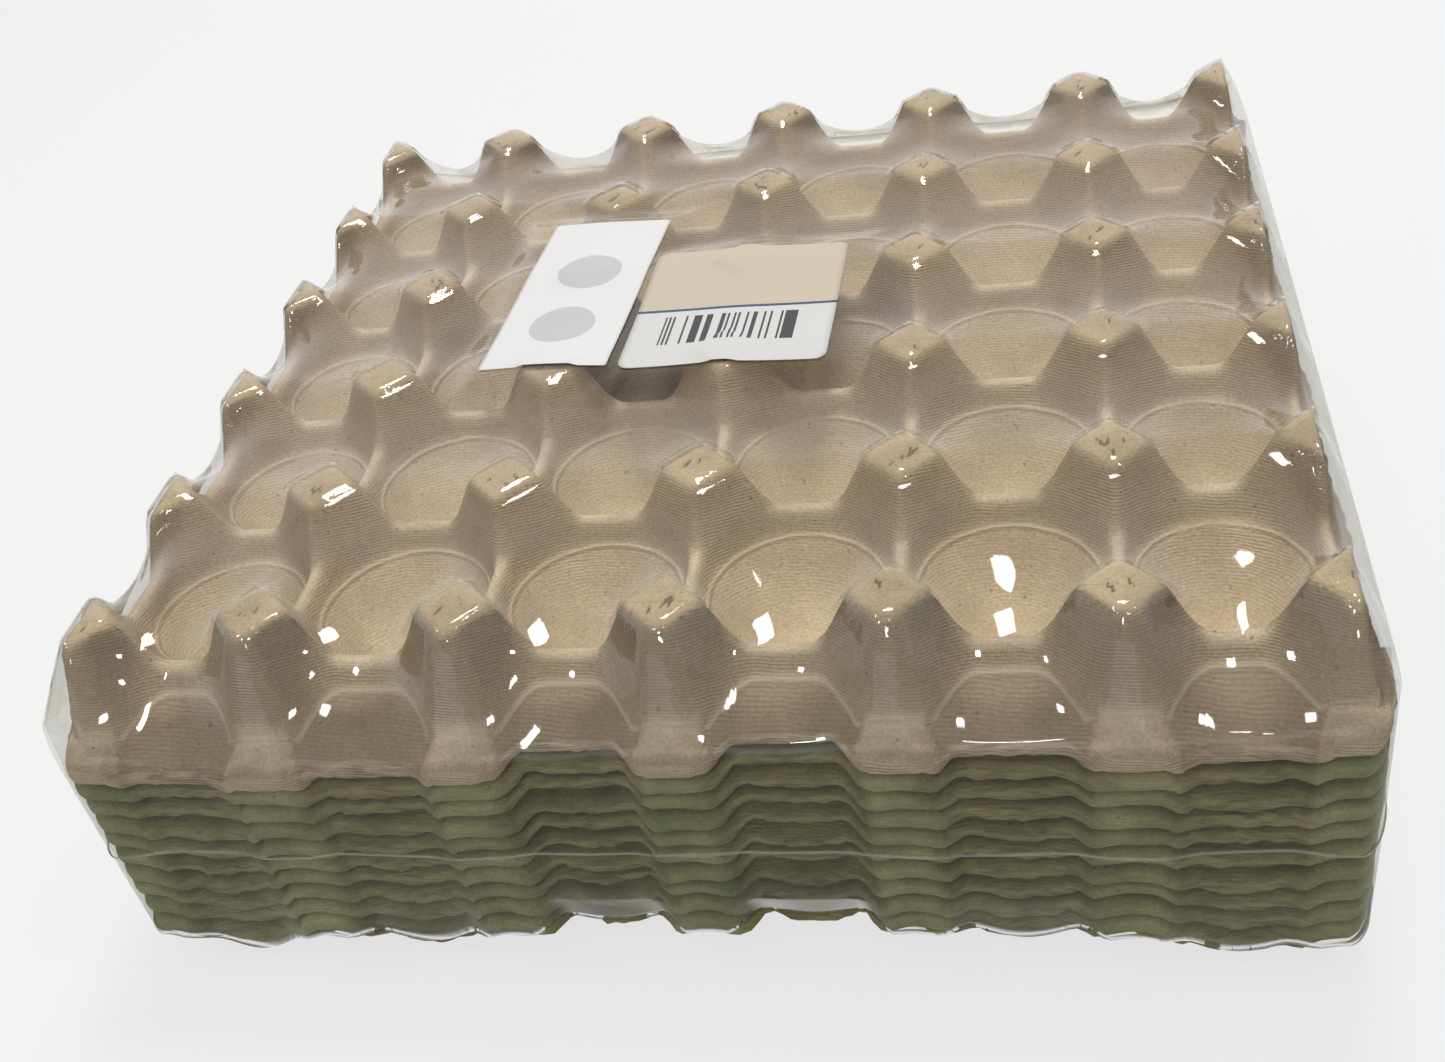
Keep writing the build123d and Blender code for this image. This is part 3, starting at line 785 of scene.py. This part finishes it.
for out, z, drawn_in in sides:
    row = edge.copy()
    row[:, :2] = (row[:, :2] + away * np.reshape(out, (-1, 1))) * drawn_in
    row[:, 2] = z + seam_wave * ease(1 - (np.abs(z - seam_z) - 1) / 6)
    points.append(row)
    seam_marks.append(np.full(len(ring), 1.0 if np.max(out) == seam_out else 0.0))
    below = total + np.arange(len(ring))
    total += len(ring)
    faces += np.stack([above, below, np.roll(below, -1), np.roll(above, -1)], -1).tolist()
    above = below
points.append(np.array([[0, 0, 0]]))
seam_marks.append(np.zeros(1))
faces += [[total, int(b), int(a)] for a, b in zip(above, np.roll(above, -1))]
touch_off, touch_half = 9.5, 4
post_off = np.abs(x - column_x[nearest(x, column_x)]) + np.abs(y - row_y[nearest(y, row_y)])
touch = ease(1 - np.abs(post_off - touch_off) / touch_half).reshape(-1)
touch = np.concatenate([touch, np.zeros(total + 1 - top.size)])
film = sheet_object("film", np.concatenate(points), faces,
                    {"seam": np.concatenate(seam_marks), "touch": touch})

# Clear plastic: glossy, with fine gathers where it touches a post, and a milky veil painted as its
# reflection where it is seen at a slant.
# Where it stands steeper than a post's face it is duller, with its milk painted darker and greener
# as shade and green bounce light, and with soft folds
film_paint = bpy.data.materials.new("film_paint")
tree, out = new_tree(film_paint)
place = add(tree, "ShaderNodeTexCoord").outputs["Object"]
swell = noise(tree, place, 16 * mm, 1)
drawn = stretched(tree, place, (1.0, 0.22, 0.3), (0.2, 0.5, 0.6))
creases = noise(tree, drawn, 2.6 * mm, 2)
crumpled = noise(tree, place, 26 * mm, 1)
crumpled = sums(tree, "MULTIPLY_ADD", crumpled, 5.0, -2.8, clamp=True)
gathers = noise(tree, place, 1.9 * mm, 1)
gathers = sums(tree, "MULTIPLY", gathers, point_value(tree, "touch"))
relief = sums(tree, "MULTIPLY_ADD", sums(tree, "MULTIPLY", creases, crumpled), 0.6,
              sums(tree, "MULTIPLY", swell, 2.0))
relief = sums(tree, "MULTIPLY_ADD", gathers, 0.35, relief)
tilted = bumped(tree, relief, 0.25, 1.2 * mm)
clear = add(tree, "ShaderNodeBsdfTransparent", {"Color": (0.965, 0.97, 0.955, 1)})
shine = add(tree, "ShaderNodeBsdfGlossy",
            {"Color": (1, 1, 1, 1), "Roughness": 0.045, "Normal": tilted})
on_side = sums(tree, "ABSOLUTE", normal_up(tree))
on_side = sums(tree, "MULTIPLY_ADD", on_side, -8.0, 3.6, clamp=True)
# Painted shade and green bounce light: where the film stands steep its milk is darker and greener
shaded_milk = blended(tree, on_side, (0.84, 0.75, 0.66), (0.50, 0.56, 0.42))
front_haze = add(tree, "ShaderNodeBsdfDiffuse", {"Color": shaded_milk})
back_haze = add(tree, "ShaderNodeBsdfTranslucent", {"Color": shaded_milk})
haze = add(tree, "ShaderNodeMixShader",
           {0: 0.5, 1: front_haze.outputs[0], 2: back_haze.outputs[0]})
gleam = add(tree, "ShaderNodeFresnel", {"IOR": 1.45, "Normal": tilted}).outputs[0]
gleam = sums(tree, "MULTIPLY", gleam, sums(tree, "MULTIPLY_ADD", on_side, -0.65, 1.0))
fold_place = stretched(tree, place, (1.0, 1.0, 0.12), (0.0, 0.7, 0.0))
folds = sums(tree, "SUBTRACT", noise(tree, fold_place, 22 * mm, 2), 0.5)
folds = sums(tree, "MULTIPLY_ADD", sums(tree, "ABSOLUTE", folds), -130.0, 1.0, clamp=True)
folds = sums(tree, "MULTIPLY", folds, sums(tree, "MULTIPLY", on_side, 0.1))
# Painted reflection: a milky veil that grows where the film is seen at a slant, less on its steep
# sides
slant = add(tree, "ShaderNodeLayerWeight", {"Blend": 0.5}).outputs["Facing"]
grazed = sums(tree, "MULTIPLY", sums(tree, "POWER", slant, 3.0),
              sums(tree, "MULTIPLY_ADD", on_side, -0.6, 1.0))
veil = sums(tree, "ADD", sums(tree, "MULTIPLY_ADD", grazed, 0.62, 0.01), folds)
veil = sums(tree, "MAXIMUM", veil, sums(tree, "MULTIPLY", point_value(tree, "seam"), 0.5))
body = add(tree, "ShaderNodeMixShader", {0: veil, 1: clear.outputs[0], 2: haze.outputs[0]})
film_mix = add(tree, "ShaderNodeMixShader", {0: gleam, 1: body.outputs[0], 2: shine.outputs[0]})
tree.links.new(film_mix.outputs[0], out.inputs["Surface"])
film.data.materials.append(film_paint)
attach(film, "root")
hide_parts("shrink_film")


# Stickers: two paper stickers on the film. One is plain white with two grey discs. The other has a
# beige top, a thin dark line and a block of plain bars, and rounded corners.
sticker_lift, sticker_thickness = 0.3, 0.15
across_count, along_count = 31, 41


def sticker_object(name, size, middle, turn, corner, node):
    """Paper sheet that follows the film, with its print coordinates as a UV map."""
    wide, high = size[0] / 2, size[1] / 2
    closer = np.sin(np.linspace(-math.pi / 2, math.pi / 2, along_count))
    u, v = np.meshgrid(np.linspace(-1, 1, across_count), closer, indexing="ij")
    past = np.clip(np.abs(v * high) - (high - corner), 0, corner)
    local_x = u * (wide - corner + np.sqrt(np.clip(corner ** 2 - past ** 2, 0, None)))
    local_y = v * high
    angle = math.radians(turn)
    x = middle[0] + local_x * math.cos(angle) - local_y * math.sin(angle)
    y = middle[1] + local_x * math.sin(angle) + local_y * math.cos(angle)
    z = top_floor + draped(x, y) + sticker_lift
    index = np.arange(x.size).reshape(x.shape)
    faces = patches(range(across_count), range(along_count), index)
    made = sheet_object(name, np.stack([x, y, z], -1).reshape(-1, 3), faces)
    print_map = made.data.uv_layers.new(name="print")
    flat = np.stack([local_x / size[0] + 0.5, local_y / size[1] + 0.5], -1).reshape(-1, 2)
    corners = np.zeros(len(made.data.loops), int)
    made.data.loops.foreach_get("vertex_index", corners)
    print_map.data.foreach_set("uv", flat[corners].reshape(-1))
    step = made.modifiers.new("thickness", "SOLIDIFY")
    step.thickness = sticker_thickness * mm
    step.offset = 1
    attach(made, "root")
    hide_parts(node)
    return made


def paper(name):
    """Coated paper: its tree, its print coordinates and its shader."""
    material = bpy.data.materials.new(name)
    tree, out = new_tree(material)
    spot = add(tree, "ShaderNodeSeparateXYZ",
               {0: add(tree, "ShaderNodeUVMap", uv_map="print").outputs[0]}).outputs
    place = add(tree, "ShaderNodeTexCoord").outputs["Object"]
    grain = noise(tree, place, 0.6 * mm, 3)
    shader = add(tree, "ShaderNodeBsdfPrincipled",
                 {"Roughness": 0.42, "Normal": bumped(tree, grain, 0.12, 0.1 * mm)})
    tree.links.new(shader.outputs[0], out.inputs["Surface"])
    return material, tree, spot, shader


def inside(tree, value, low, high):
    """One where a value lies between two bounds."""
    return sums(tree, "MULTIPLY", sums(tree, "GREATER_THAN", value, low),
                sums(tree, "LESS_THAN", value, high))


def disc(tree, spot, middle, radius):
    """One in a disc on the plain sticker."""
    squares = []
    for axis, size in enumerate(plain_size):
        far = sums(tree, "SUBTRACT", spot[axis], 0.5 + middle[axis] / size)
        far = sums(tree, "MULTIPLY", far, size)
        squares.append(sums(tree, "MULTIPLY", far, far))
    return sums(tree, "LESS_THAN", sums(tree, "ADD", *squares), radius ** 2)


plain_sticker = sticker_object("plain_sticker_sheet", plain_size, plain_middle, plain_turn,
                               plain_corner, "plain_sticker")
white_paper, tree, spot, shader = paper("white_paper")
disc_radius, upper_disc, lower_disc = 9.3, (0.8, 9.5), (0.0, -18.5)
discs = sums(tree, "MAXIMUM", disc(tree, spot, upper_disc, disc_radius),
             disc(tree, spot, lower_disc, disc_radius))
tone = blended(tree, discs, (0.70, 0.70, 0.695), (0.50, 0.50, 0.50))
tree.links.new(tone, shader.inputs["Base Color"])
plain_sticker.data.materials.append(white_paper)

label = sticker_object("printed_label_sheet", label_size, label_middle, label_turn, label_corner,
                       "printed_label")
label_paper, tree, spot, shader = paper("label_paper")
line_low, line_high = 0.455, 0.475
stripe_count, stripe_bare = 95, 0.47
bars_x, bars_y = (0.16, 0.82), (0.17, 0.41)
tone = blended(tree, sums(tree, "GREATER_THAN", spot[1], line_high),
               (0.60, 0.60, 0.59), (0.53, 0.455, 0.345))
tone = blended(tree, inside(tree, spot[1], line_low, line_high), tone, (0.02, 0.05, 0.11))
stripe = sums(tree, "FLOOR", sums(tree, "MULTIPLY", spot[0], stripe_count))
stripe = add(tree, "ShaderNodeTexWhiteNoise", {"W": stripe}, noise_dimensions="1D").outputs["Value"]
bars = sums(tree, "MULTIPLY", sums(tree, "GREATER_THAN", stripe, stripe_bare),
            inside(tree, spot[0], *bars_x))
bars = sums(tree, "MULTIPLY", bars, inside(tree, spot[1], *bars_y))
tone = blended(tree, bars, tone, (0.02, 0.02, 0.022))
tree.links.new(tone, shader.inputs["Base Color"])
label.data.materials.append(label_paper)
